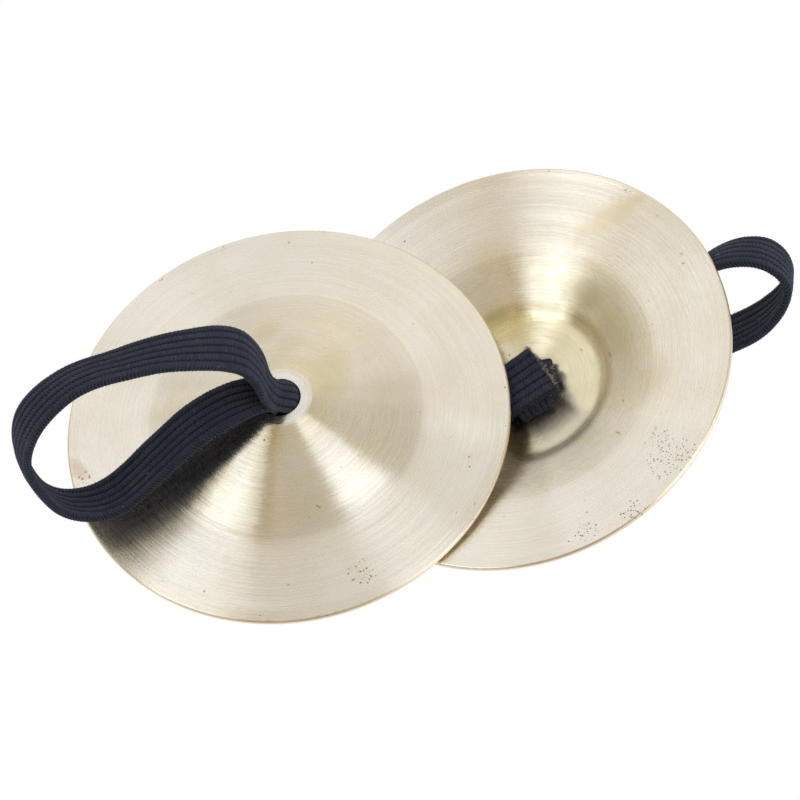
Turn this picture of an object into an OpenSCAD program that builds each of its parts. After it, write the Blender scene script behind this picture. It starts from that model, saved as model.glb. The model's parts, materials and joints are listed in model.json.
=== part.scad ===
// Pair of finger cymbals with elastic finger loops, lying on a table:
// the left one rim down on the hollow of the right one.
// Units are millimetres, +Z is up, the table is the plane Z = 0 and the
// origin is the point on the table under the middle of the pair.
// Each cymbal is drawn in its own frame first: rim plane at z = 0, axis +z
// through the boss on the outside of the bell.

/* [Cymbal] */
// Diameter of a cymbal over its rim
cymbal_d = 60; // [52:1:66]
// Diameter of the crease where the flat flange turns into the cone
crease_d = 37.2; // [34:0.2:40]
// Height of the crease above the rim plane, outside face
crease_h = 2.9; // [2.5:0.1:3.3]
// Diameter of the flat boss round the hole
boss_d = 8.2; // [7:0.1:9]
// Height of the boss above the rim plane, outside face
boss_h = 8.4; // [8:0.1:8.6]
// Diameter of the strap hole
hole_d = 5.3; // [5.1:0.1:5.6]
// Thickness of the rim
rim_t = 0.8; // [0.6:0.05:1]
// How far the cone bellies out between boss and crease, as a slope change
cone_belly = 0.04; // [0:0.01:0.06]

/* [Bell inside] */
// Depth of the bell under the boss, from the rim plane
bell_depth = 7; // [6.7:0.1:7.2]
// Diameter of the smooth bell bottom
bottom_d = 21; // [19:0.5:22]
// Diameter of the turned ring round the bell bottom
ring_d = 23.8; // [23:0.2:25]
// Height of the inner crease above the rim plane
inner_crease_h = 2.05; // [1.8:0.05:2.2]

/* [Elastic strap] */
// Width of the braided elastic
strap_w = 7.5; // [6.5:0.1:8]
// Thickness of the braided elastic
strap_t = 1.2; // [1:0.05:1.3]
// Width of a leg of the strap where it is squeezed into the hole
leg_w = 4.6; // [4:0.1:4.8]
// Radial clearance between the squeezed strap and the hole
neck_gap = 0.05; // [0.02:0.01:0.1]
// Number of rubber threads inside the braid
threads = 6; // [4:1:7]
// Width of one rubber thread
thread_t = 0.5; // [0.4:0.05:0.6]

/* [Finger loops] */
// Stretch of the left loop along its length
left_reach = 1; // [0.96:0.01:1.03]
// Stretch of the right loop along its length
right_reach = 1; // [0.97:0.01:1.02]

/* [Knots] */
// Diameter of a knot
knot_d = 9.2; // [8.6:0.1:9.6]
// Length of the strap ends from the middle of the knot, before each is cut short
end_len = 5.4; // [5:0.1:5.8]

/* [Resting pose] */
// Lean of the left cymbal away from level
left_tilt = 8.6; // [8.2:0.1:9]
// Lean of the right cymbal away from level
right_tilt = 16.1; // [15.7:0.1:16.5]
// Sideways distance between the two rim centres
pair_dx = 30.1; // [29.9:0.1:30.5]
// Fore and aft distance between the two rim centres
pair_dy = 5.5; // [5.2:0.1:5.8]
// Height of the right rim centre above the left one
pair_dz = 6.6; // [6.6:0.1:7.2]

/* [Hidden] */

$fn = 96;

brass = [0.86, 0.82, 0.70];
braid = [0.13, 0.14, 0.18];
rubber = [0.78, 0.62, 0.55];

cymbal_r = cymbal_d / 2;
crease_r = crease_d / 2;
boss_r = boss_d / 2;
hole_r = hole_d / 2;
ring_r = ring_d / 2;
bottom_r = bottom_d / 2;
inner_crease_r = crease_r - 0.5;

// ---- Resting pose -------------------------------------------------------

left_x = -15;
left_drop = 0.0698;  // left rim centre below the height its lean alone gives
left_heading = 184.6;
right_heading = 7.9;

left_pos = [left_x, -pair_dy / 2, cymbal_r * sin(left_tilt) - left_drop];
right_pos = left_pos + [pair_dx, pair_dy, pair_dz];

module at_left() translate(left_pos) rotate([0, left_tilt, left_heading]) children();
// The right cymbal is turned over, hollow side up.
module at_right() translate(right_pos) rotate([0, 180 - right_tilt, right_heading]) children();

// ---- Cymbal -------------------------------------------------------------
// Each face is a chain of straight slopes, with every change of slope rounded.

// 0 below start, then rising at slope 1, rounded over about rounding.
function ramp(radius, start, rounding) =
    let (past = radius - start) (past + sqrt(past * past + rounding * rounding)) / 2;

flange_slope = (crease_h - rim_t) / (cymbal_r - crease_r);
cone_slope = (boss_h - crease_h) / (crease_r - boss_r);
cone_mid_r = (crease_r + boss_r) / 2;
boss_rounding = 0.15;
belly_rounding = 3;
crease_rounding = 1.4;

function outer_z(radius) = boss_h
    - (cone_slope - cone_belly) * ramp(radius, boss_r, boss_rounding)
    - 2 * cone_belly * ramp(radius, cone_mid_r, belly_rounding)
    + (cone_slope + cone_belly - flange_slope) * ramp(radius, crease_r, crease_rounding);

bottom_slope = 0.2;
ring_slope = 0.56;
bell_slope = (bell_depth - bottom_slope * (bottom_r - hole_r)
    - ring_slope * (ring_r - bottom_r) - inner_crease_h) / (inner_crease_r - ring_r);
inner_flange_slope = inner_crease_h / (cymbal_r - inner_crease_r);
bottom_rounding = 0.5;
ring_rounding = 0.3;
inner_crease_rounding = 2.2;

function inner_z(radius) = bell_depth - bottom_slope * (radius - hole_r)
    - (ring_slope - bottom_slope) * ramp(radius, bottom_r, bottom_rounding)
    + (ring_slope - bell_slope) * ramp(radius, ring_r, ring_rounding)
    + (bell_slope - inner_flange_slope) * ramp(radius, inner_crease_r, inner_crease_rounding);

rim_edge_r = rim_t / 2;
hole_bevel = 0.2;

// Radii at which the faces are sampled, closer together where they bend.
flange_radii = [for (r = [22.6 : 1.15 : cymbal_r - rim_edge_r - 0.6]) r];
outer_radii = concat(
    [for (r = [hole_r + hole_bevel : 0.3 : 5.3]) r],
    [for (r = [6.3 : 1.1 : 15.6]) r],
    [for (r = [16.2 : 0.55 : 21.6]) r],
    flange_radii);
inner_radii = concat(
    [for (r = [hole_r + hole_bevel : 1.1 : 8.8]) r],
    [for (r = [9.4 : 0.3 : 12.8]) r],
    [for (r = [13.6 : 0.9 : 15.6]) r],
    [for (r = [16.2 : 0.6 : 21.6]) r],
    flange_radii);

// Half section: out along the outer face, round the rim, back along the inner face.
module cymbal_profile() {
    rim_z = (outer_z(cymbal_r) + inner_z(cymbal_r)) / 2;
    polygon(concat(
        [[hole_r, outer_z(hole_r) - hole_bevel]],
        [for (r = outer_radii) [r, outer_z(r)]],
        [for (a = [75 : -15 : -75])
            [cymbal_r - rim_edge_r + rim_edge_r * cos(a), rim_z + rim_edge_r * sin(a)]],
        [for (i = [len(inner_radii) - 1 : -1 : 0]) [inner_radii[i], inner_z(inner_radii[i])]],
        [[hole_r, inner_z(hole_r) + hole_bevel]]));
}

module cymbal() rotate_extrude($fn = 180) cymbal_profile();

// ---- Neck and knot ------------------------------------------------------

neck_r = hole_r - neck_gap;
leg_slit = 0.08;
knot_r = knot_d / 2;
knot_top = bell_depth - 0.55;
knot_h = 3.75;
knot_side_r = 1.9;         // roundness of the side in section
knot_side_depth = 1.75;    // widest level, below the knot's top
knot_upper_squash = 0.95;  // flattening of the side above that level

// The strap's two legs, side by side, filling the hole.
module strap_neck() {
    over = 1;
    difference() {
        translate([0, 0, knot_top]) cylinder(r = neck_r, h = boss_h - knot_top);
        translate([-leg_slit / 2, -neck_r - over, knot_top - over])
            cube([leg_slit, 2 * (neck_r + over), boss_h]);
    }
}

// The overhand knot that seats on the bell bottom, as a turned blob.
module knot() {
    rotate_extrude() polygon(concat(
        [[0, knot_top]],
        [for (a = [-50 : 10 : 70])
            [knot_r - knot_side_r + knot_side_r * cos(a),
             knot_top - knot_side_depth
                 - knot_side_r * sin(a) * (a < 0 ? knot_upper_squash : 1)]],
        [[0, knot_top - knot_h]]));
}

// ---- Cut strap ends -----------------------------------------------------

// One row for each end: turn about the axis, height, roll about its length,
// length cut off, width lost, start of the threads, spread of the threads.
strap_end_table = [
    [164, 3.5, 11, 2.0, 0.0, 1.5, 1.15],
    [212, 4.9,  4, 0.3, 1.8, 2.2, 0.85]];
left_ends_turn = 70;
end_thread_pitch = (strap_w - 1.8) / threads;
thread_stickout = 0.35;  // threads past the cut braid

function end_length(end) = end_len - end[3];
// Place of thread i across the strap, in pitches from the middle.
function thread_place(i) = i - (threads - 1) / 2;

module at_end(end)
    rotate([0, 0, end[0]]) translate([0, 0, end[1]]) rotate([end[2], 0, 0]) children();

module strap_ends() {
    for (end = strap_end_table) {
        width = strap_w - end[4];
        at_end(end) translate([0, -width / 2, -strap_t / 2])
            cube([end_length(end), width, strap_t]);
    }
}

module end_threads() {
    for (end = strap_end_table, i = [0 : threads - 1]) {
        start = end[5];
        at_end(end) translate([start, thread_place(i) * end_thread_pitch * end[6], 0])
            rotate([0, 90, 0])
            cylinder(d = thread_t, h = end_length(end) + thread_stickout - start, $fn = 16);
    }
}

// ---- Finger loops -------------------------------------------------------

mouth_z = boss_h + 1.5;  // where the loops leave the hole

// Guide points [x, y, z] of each loop's middle line, in its cymbal's frame, walked
// from one leg at the hole round the finger opening and back to the other leg.
// The left loop springs up from the boss and comes down on the flange.
left_points = [
    [-0.65, 0, mouth_z], [-0.3, -0.7, 13.5], [2.7, -1.6, 19.2], [9, -0.6, 23],
    [17.5, 1.7, 25], [25.6, 4.1, 25.4], [31.8, 6.8, 22.5], [34.8, 8.9, 16.4],
    [32.5, 9.9, 8.8], [28.6, 9.9, 4.7], [24, 8.8, 4], [17.5, 5.9, 7.2],
    [11.8, 3.3, 10.2], [6, 1.5, 11.3], [2.2, 0.4, 11.3], [0.75, 0, mouth_z]];
// The right loop is folded flat under its cymbal and sticks out past the rim.
right_points = [
    [-1.5, 0, mouth_z - 0.6], [-6, 0.8, 9.15], [-12, 2.6, 7.8], [-18, 5.1, 5.8],
    [-24, 7.9, 4.5], [-28.2, 9.4, 3.6], [-31.8, 9.5, 2.9], [-34.9, 8.5, 3.6],
    [-36.8, 6.7, 6.2], [-36.1, 5.5, 9.2], [-32.6, 4.9, 12], [-28, 4.7, 14],
    [-22, 4.4, 14.5], [-14, 3, 13], [-7, 1, 11.3], [-1.5, 0, mouth_z + 0.7]];

function stretched(points, reach) = [for (p = points) [p[0] * reach, p[1], p[2]]];
left_guide = stretched(left_points, left_reach);
right_guide = stretched(right_points, right_reach);

// Direction of the band's width, at the hole and out at the finger.
left_widths = [[0, 1, 0], [-0.3, 0.93, 0.21]];
right_widths = [[0, -1, 0], [0.153, -0.888, -0.435]];

// Distances over which the band twists (from the axis) and widens (from the mouth).
twist_start = 4;
twist_run = 20;
widen_start = 0.5;
widen_run = 7;

thread_trim = 2.5;  // guide intervals without threads at each end of a loop
loop_thread_pitch = (strap_w - 0.6) / threads;

function unit(v) = v / norm(v);
function ease(x) = let (t = min(1, max(0, x))) t * t * (3 - 2 * t);

// Guide point i, carried on in a straight line past either end.
function guide_point(guide, i) = let (last = len(guide) - 1)
    i < 0 ? 2 * guide[0] - guide[1]
    : i > last ? 2 * guide[last] - guide[last - 1] : guide[i];

// Catmull-Rom curve through the guide points at u = 0 ... len(guide) - 1.
function spline(guide, u) = let (
    i = min(floor(u), len(guide) - 2), t = u - i,
    a = guide_point(guide, i - 1), b = guide_point(guide, i),
    c = guide_point(guide, i + 1), d = guide_point(guide, i + 2))
    ((-a + 3 * b - 3 * c + d) * t * t * t + (2 * a - 5 * b + 4 * c - d) * t * t
     + (c - a) * t + 2 * b) / 2;

function width_dir(widths, p) = unit(widths[0] + (widths[1] - widths[0])
    * ease((norm([p[0], p[1]]) - twist_start) / twist_run));
function band_w(p) = leg_w + (strap_w - leg_w)
    * ease((norm([p[0], p[1], p[2] - mouth_z]) - widen_start) / widen_run);

// Corners of a rectangular section at u, moved by shift across the band.
function section(guide, u, widths, width, thick, shift = 0) = let (
    step = 0.02,
    p = spline(guide, u),
    along = unit(spline(guide, min(len(guide) - 1, u + step))
        - spline(guide, max(0, u - step))),
    across = width_dir(widths, p),
    face = unit(cross(along, across)),
    middle = p + across * shift,
    side = across * width / 2,
    up = face * thick / 2)
    [middle - side - up, middle + side - up, middle + side + up, middle - side + up];

// Solid through a row of four-cornered sections.
module swept(rings) {
    count = len(rings);
    polyhedron(
        points = [for (ring = rings) for (p = ring) p],
        faces = concat(
            [[3, 2, 1, 0]],
            [for (i = [0 : count - 2]) for (k = [0 : 3])
                let (a = 4 * i + k, b = 4 * i + (k + 1) % 4)
                for (triangle = [[a, b, b + 4], [a, b + 4, a + 4]]) triangle],
            [[for (k = [0 : 3]) 4 * (count - 1) + k]]));
}

module finger_loop(guide, widths) {
    last = len(guide) - 1;
    steps = 4 * last;
    swept([for (i = [0 : steps]) let (u = last * i / steps)
        section(guide, u, widths, band_w(spline(guide, u)), strap_t)]);
}

// The threads close up where the band narrows.
module loop_threads(guide, widths) {
    run = len(guide) - 1 - 2 * thread_trim;
    steps = 30;
    for (k = [0 : threads - 1])
        swept([for (i = [0 : steps]) let (u = thread_trim + run * i / steps)
            section(guide, u, widths, thread_t, thread_t,
                thread_place(k) * loop_thread_pitch * band_w(spline(guide, u)) / strap_w)]);
}

// ---- Nodes --------------------------------------------------------------

module left_cymbal() color(brass) at_left() cymbal();
module left_strap_neck() color(braid) at_left() strap_neck();
module left_finger_loop() color(braid) at_left() finger_loop(left_guide, left_widths);
module left_loop_threads() color(rubber) at_left() loop_threads(left_guide, left_widths);
module left_knot() color(braid) at_left() knot();
module left_strap_ends() color(braid) at_left() rotate([0, 0, left_ends_turn]) strap_ends();
module left_end_threads() color(rubber) at_left() rotate([0, 0, left_ends_turn]) end_threads();

module right_cymbal() color(brass) at_right() cymbal();
module right_strap_neck() color(braid) at_right() strap_neck();
module right_finger_loop() color(braid) at_right() finger_loop(right_guide, right_widths);
module right_loop_threads() color(rubber) at_right() loop_threads(right_guide, right_widths);
module right_knot() color(braid) at_right() knot();
module right_strap_ends() color(braid) at_right() strap_ends();
module right_end_threads() color(rubber) at_right() end_threads();

left_cymbal();
left_strap_neck();
left_finger_loop();
left_loop_threads();
left_knot();
left_strap_ends();
left_end_threads();
right_cymbal();
right_strap_neck();
right_finger_loop();
right_loop_threads();
right_knot();
right_strap_ends();
right_end_threads();
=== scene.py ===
# A pair of lathe-turned brass finger cymbals. Each has a finger loop of braided elastic that
# passes through the hole at its middle and is knotted in the hollow, with two cut ends.
# Shapes are given in mm in each cymbal's own frame: z runs along its axis, out of the hollow
# towards the loop, and y along the loop's fold axis. world() takes them to scene metres.
import json
import math
from functools import reduce
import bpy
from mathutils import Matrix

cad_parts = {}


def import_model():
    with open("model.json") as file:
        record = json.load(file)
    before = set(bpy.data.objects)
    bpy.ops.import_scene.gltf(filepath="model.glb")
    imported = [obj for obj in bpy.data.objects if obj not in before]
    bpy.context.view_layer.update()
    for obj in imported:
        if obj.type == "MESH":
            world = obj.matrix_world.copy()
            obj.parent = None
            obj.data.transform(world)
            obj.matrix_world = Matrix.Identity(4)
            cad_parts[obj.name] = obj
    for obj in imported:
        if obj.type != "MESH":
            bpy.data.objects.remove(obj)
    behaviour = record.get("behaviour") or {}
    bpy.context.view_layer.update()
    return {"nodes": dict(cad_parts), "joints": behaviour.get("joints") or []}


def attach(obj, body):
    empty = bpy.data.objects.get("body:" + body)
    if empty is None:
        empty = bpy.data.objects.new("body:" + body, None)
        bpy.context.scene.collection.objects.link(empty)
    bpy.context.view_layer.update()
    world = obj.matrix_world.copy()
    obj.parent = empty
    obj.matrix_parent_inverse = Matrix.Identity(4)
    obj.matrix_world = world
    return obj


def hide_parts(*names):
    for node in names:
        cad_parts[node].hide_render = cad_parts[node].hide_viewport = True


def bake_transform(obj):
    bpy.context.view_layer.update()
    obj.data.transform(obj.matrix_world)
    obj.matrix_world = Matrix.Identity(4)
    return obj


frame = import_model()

from types import SimpleNamespace

import bpy
import numpy as np
from mathutils import Matrix, Vector

MM = 0.001
FOLD_HEIGHT = 9.9            # mm from a cymbal's origin to its loop's fold axis

# braid, in mm
RIBS = 6
STITCH = 0.50                # along the band from one stitch to the next
ROW_STEP = 0.085             # between rows of the band's mesh
STITCH_SLANT = 0.62          # stitches that a V falls back from a rib's middle to its edge
STITCH_SINK = 0.165          # depth of the open stitches between ribs
LINE_SINK = 0.085            # depth of the drawn-in lines between ribs
PLAIT_RISE = 0.030           # height of the plait along a rib
EDGE_JAG, EDGE_PLAIT = 0.055, 0.040   # how far the long edges wander, at random and by stitch

# finger loop, in mm
LEG_X = 1.98                 # middle of each leg's section from the axis, in the hole
LEG_CURL = 1 / 2.05          # curvature of a leg's section in the hole
MOUTH = np.array([0, 0, 8.4])         # where the legs come out of the hole
LEG_WIDTH, LOOP_WIDTH = 5.45, 7.5
LEG_THICK, LOOP_THICK = 1.02, 1.24
LOOP_CUP = 0.030             # curvature of the open band's section
BARE_ROWS = 24               # rows without fuzz at each end of the loop's band


# ---------------------------------------------------------------- small maths

def unit(a):
    a = np.asarray(a, float)
    return a / np.maximum(np.linalg.norm(a, axis=-1, keepdims=True), 1e-12)


def ease(x):
    t = np.clip(x, 0, 1)
    return t * t * (3 - 2 * t)


def wavy(s, seed, waves):
    """A smooth random line along s: a sum of sines with wavelengths near waves (mm)."""
    rng = np.random.default_rng(seed)
    out = np.zeros_like(np.asarray(s, float))
    for wave in waves:
        wave = wave * rng.uniform(0.8, 1.25)
        out = out + np.sin(2 * np.pi * (s / wave + rng.uniform())) * rng.uniform(0.6, 1.0)
    return out / len(waves)


def curve_through(guide, per):
    """A Catmull-Rom curve through the guide points, with per steps between neighbours."""
    guide = np.array(guide, float)
    ends = np.vstack([2 * guide[0] - guide[1], guide, 2 * guide[-1] - guide[-2]])
    t = (np.arange(per) / per)[:, None]
    out = []
    for i in range(len(guide) - 1):
        a, b, c, d = ends[i:i + 4]
        cubic = (-a + 3 * b - 3 * c + d) * t ** 3
        square = (2 * a - 5 * b + 4 * c - d) * t ** 2
        out.append((cubic + square + (c - a) * t + 2 * b) / 2)
    out.append(guide[-1:])
    return np.vstack(out)


def lengths_along(points):
    return np.r_[0, np.cumsum(np.linalg.norm(np.diff(points[:, :3], axis=0), axis=1))]


def evenly(points):
    """The points resampled a row step apart, and the length at each of them."""
    length = lengths_along(points)
    count = max(4, int(round(length[-1] / ROW_STEP)))
    s = np.linspace(0, length[-1], count + 1)
    return np.stack([np.interp(s, length, column) for column in points.T], 1), s


def soften(a, times):
    for _ in range(times):
        a = a.copy()
        a[1:-1] = (a[:-2] + 2 * a[1:-1] + a[2:]) / 4
    return a


def square_to(along, direction):
    """direction made perpendicular to along."""
    return unit(direction - (direction * along).sum(1, keepdims=True) * along)


# ---------------------------------------------------------------- cymbal frames

JOINTS = {joint["name"]: joint for joint in frame["joints"]}


def cymbal_frame(side, sign):
    """A cymbal's origin in metres, and its x, y and z axes as columns."""
    z = unit(JOINTS[side + "_strap_swivel"]["axis"])
    y = sign * unit(JOINTS[side + "_loop_fold"]["axis"])
    y = unit(y - z * (y @ z))
    x = np.cross(y, z)
    pivot = np.array(JOINTS[side + "_loop_fold"]["pos_m"], float)
    return pivot - z * FOLD_HEIGHT * MM, np.column_stack([x, y, z])


FRAMES = {"left": cymbal_frame("left", -1), "right": cymbal_frame("right", 1)}


def world(side, points):
    centre, axes = FRAMES[side]
    return centre + (np.asarray(points, float) * MM) @ axes.T


# ---------------------------------------------------------------- node building

class Net:
    """Builds the node tree of a material or world. Most values may be numbers or sockets."""

    def __init__(self, owner):
        owner.use_nodes = True
        self.tree = owner.node_tree
        self.tree.nodes.clear()

    def node(self, kind, **settings):
        node = self.tree.nodes.new(kind)
        for key, value in settings.items():
            setattr(node, key, value)
        return node

    def put(self, socket, value):
        if value is None:
            return
        if isinstance(value, bpy.types.NodeSocket):
            self.tree.links.new(value, socket)
        elif isinstance(value, (tuple, np.ndarray, Vector)):
            value = [float(x) for x in value]
            if socket.type == "RGBA" and len(value) == 3:
                value = value + [1.0]
            socket.default_value = value
        else:
            socket.default_value = value

    def fill(self, node, values):
        for key, value in values.items():
            self.put(node.inputs[key], value)

    def principled(self):
        out = self.node("ShaderNodeOutputMaterial")
        bsdf = self.node("ShaderNodeBsdfPrincipled")
        self.tree.links.new(bsdf.outputs[0], out.inputs[0])
        return bsdf

    def math(self, op, a, b=None, clamp=False):
        node = self.node("ShaderNodeMath", operation=op, use_clamp=clamp)
        for socket, value in zip(node.inputs, (a, b)):
            self.put(socket, value)
        return node.outputs[0]

    def mul(self, *values):
        return reduce(lambda a, b: self.math("MULTIPLY", a, b), values)

    def add(self, *values):
        return reduce(lambda a, b: self.math("ADD", a, b), values)

    def most(self, *values):
        return reduce(lambda a, b: self.math("MAXIMUM", a, b), values)

    def swings(self, *pairs):
        """Each (noise, amount) as a swing of that amount about zero."""
        return [self.mul(self.math("SUBTRACT", noise, 0.5), amount) for noise, amount in pairs]

    def hypot(self, a, b):
        return self.math("SQRT", self.add(self.mul(a, a), self.mul(b, b)))

    def vector(self, op, a, b=None, scale=None):
        node = self.node("ShaderNodeVectorMath", operation=op)
        self.put(node.inputs[0], a)
        self.put(node.inputs[1], b)
        if scale is not None:
            self.put(node.inputs["Scale"], scale)
        return node.outputs["Value" if op in ("DOT_PRODUCT", "LENGTH") else 0]

    def xyz(self, *parts):
        node = self.node("ShaderNodeCombineXYZ")
        for socket, value in zip(node.inputs, parts):
            self.put(socket, value)
        return node.outputs[0]

    def stretch(self, *parts):
        """A place for noise, from (value, noise units per unit) pairs or plain numbers."""
        return self.xyz(*[self.mul(*part) if isinstance(part, tuple) else part for part in parts])

    def parts(self, vector):
        node = self.node("ShaderNodeSeparateXYZ")
        self.put(node.inputs[0], vector)
        return node.outputs

    def object_mm(self, origin=None):
        place = self.node("ShaderNodeTexCoord").outputs["Object"]
        if origin is not None:
            place = self.vector("SUBTRACT", place, origin)
        return self.vector("SCALE", place, scale=1 / MM)

    def turned(self, vector, kind, start, end):
        node = self.node("ShaderNodeVectorTransform", vector_type=kind,
                         convert_from=start, convert_to=end)
        self.put(node.inputs[0], vector)
        return node.outputs[0]

    def noise(self, place, offset=None, scale=1.0, detail=2.0, rough=0.5, distort=0.0):
        if offset is not None:
            place = self.vector("ADD", place, offset)
        node = self.node("ShaderNodeTexNoise", noise_dimensions="3D")
        self.fill(node, {"Vector": place, "Scale": scale, "Detail": detail,
                         "Roughness": rough, "Distortion": distort})
        return node.outputs[0]

    def ramp(self, value, span, out=(0.0, 1.0), smooth=True):
        """out[0] to out[1] as value goes from span[0] to span[1]."""
        kind = "SMOOTHSTEP" if smooth else "LINEAR"
        node = self.node("ShaderNodeMapRange", interpolation_type=kind, clamp=True)
        for socket, number in zip(node.inputs, (value, *span, *out)):
            self.put(socket, number)
        return node.outputs[0]

    def tint(self, base, tone, mask, strength=None):
        """base turned towards tone where mask is high."""
        if strength is not None:
            mask = self.mul(mask, strength)
        node = self.node("ShaderNodeMix", data_type="RGBA")
        for index, value in ((0, mask), (6, base), (7, tone)):
            self.put(node.inputs[index], value)
        return node.outputs[2]

    def bump(self, height, strength, distance):
        node = self.node("ShaderNodeBump")
        self.fill(node, {"Strength": strength, "Distance": distance, "Height": height})
        return node.outputs[0]


# ---------------------------------------------------------------- brass

PALE = (0.870, 0.812, 0.690)
WARM = (0.800, 0.705, 0.470)
GOLD = (0.680, 0.560, 0.390)
BELL = (0.880, 0.798, 0.545)
PIT = (0.330, 0.225, 0.130)
# whiter than the brass: the scratches are real marks and this colour is a painted highlight for
# their shine
SCRATCH = (0.97, 0.95, 0.88)
NICK = (0.300, 0.235, 0.150)
FLAT = (0.800, 0.730, 0.620)
# painted highlight along the edge of the flat round the hole
LIP_HIGHLIGHT = (0.920, 0.860, 0.760)
# painted shade at the step round the bell in the hollow
STEP_SHADE = (0.55, 0.46, 0.27)
BALANCE = (1.022, 1.030, 1.065)       # last gain on red, green and blue

# pit clusters in each cymbal's plane: x, y, radius in mm
PITS = {
    "right": [(-18.6, -19.0, 4.6), (-17.6, -15.5, 2.8), (-21.0, -19.5, 2.6),
              (-5.8, -26.8, 2.2), (-12.5, -25.9, 2.4)],
    "left": [(-8.2, 24.6, 2.8), (27.8, 3.4, 1.6)],
}
# tarnish, and on the right cymbal two patches of painted shade: x, y, radius in mm, length over
# width, direction in radians, strength, colour
TARNISH_AND_SHADE_SPOTS = {
    "right": [
        (-15.9, 19.3, 2.3, 3.0, -0.30, 0.62, (0.780, 0.655, 0.410)),
        (3.0, 20.0, 2.8, 2.4, 0.20, 0.30, (0.780, 0.690, 0.490)),
        (-18.0, -6.4, 2.6, 1.9, -1.07, 0.22, (0.600, 0.470, 0.270)),
        # painted shade: the darker olive flank of the inner wall beside the bright band, given a
        # tarnish tone
        (-13.4, 3.0, 3.0, 2.1, 1.35, 0.62, (0.620, 0.560, 0.360)),
        (-10.3, 10.2, 2.6, 1.8, 0.75, 0.62, (0.620, 0.560, 0.360)),
        (2.0, 9.6, 3.4, 1.7, 0.10, 0.75, (0.800, 0.680, 0.330)),
        (0.0, 0.0, 5.5, 1.2, 0.0, 0.30, (0.74, 0.62, 0.33)),
    ],
    "left": [
        (1.5, -12.0, 2.5, 1.5, 0.9, 0.42, (0.760, 0.640, 0.360)),
        (-1.6, -9.0, 2.6, 1.4, 0.5, 0.32, (0.780, 0.680, 0.440)),
        (-6.8, -3.4, 4.0, 1.5, 1.2, 0.60, (0.800, 0.695, 0.430)),
        (28.6, 2.4, 1.3, 2.3, 2.02, 0.50, (0.640, 0.480, 0.310)),
        (-22.0, -12.0, 4.0, 1.4, 0.3, 0.12, (0.780, 0.680, 0.440)),
    ],
}
# scratches, whose shine is a painted highlight in their near-white colour, and dark nicks: from x,
# y to x, y, half width in mm
SCRATCHES = {
    "right": [(-2.6, -5.3, 0.1, -9.5, 0.10), (-14.0, -9.5, -17.5, -12.0, 0.05),
              (-8.0, 20.0, -12.5, 17.2, 0.05)],
    "left": [(12.9, 10.9, 12.6, 13.4, 0.08), (13.7, 12.3, 11.9, 12.0, 0.05),
             (11.0, 9.0, 12.2, 11.4, 0.04), (-12.0, -4.0, -15.0, -9.5, 0.03),
             (11.0, 17.0, 15.5, 15.2, 0.05)],
}
NICKS = {
    "right": [(-11.7, -12.1, -12.1, -12.5, 0.17), (-13.1, -7.1, -13.2, -7.5, 0.13),
              (-12.1, 1.1, -12.3, 0.5, 0.17), (-8.1, 3.5, -8.3, 3.2, 0.10)],
    "left": [(-3.2, 14.9, -3.6, 15.2, 0.14), (1.9, 24.7, 1.7, 24.9, 0.12)],
}
SCRATCH_STRENGTH = 0.8
NICK_STRENGTH = 0.72
FACE_SHIFT, CYMBAL_SHIFT = 37.0, 11.3   # noise shifts, so no two faces share their rings


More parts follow.
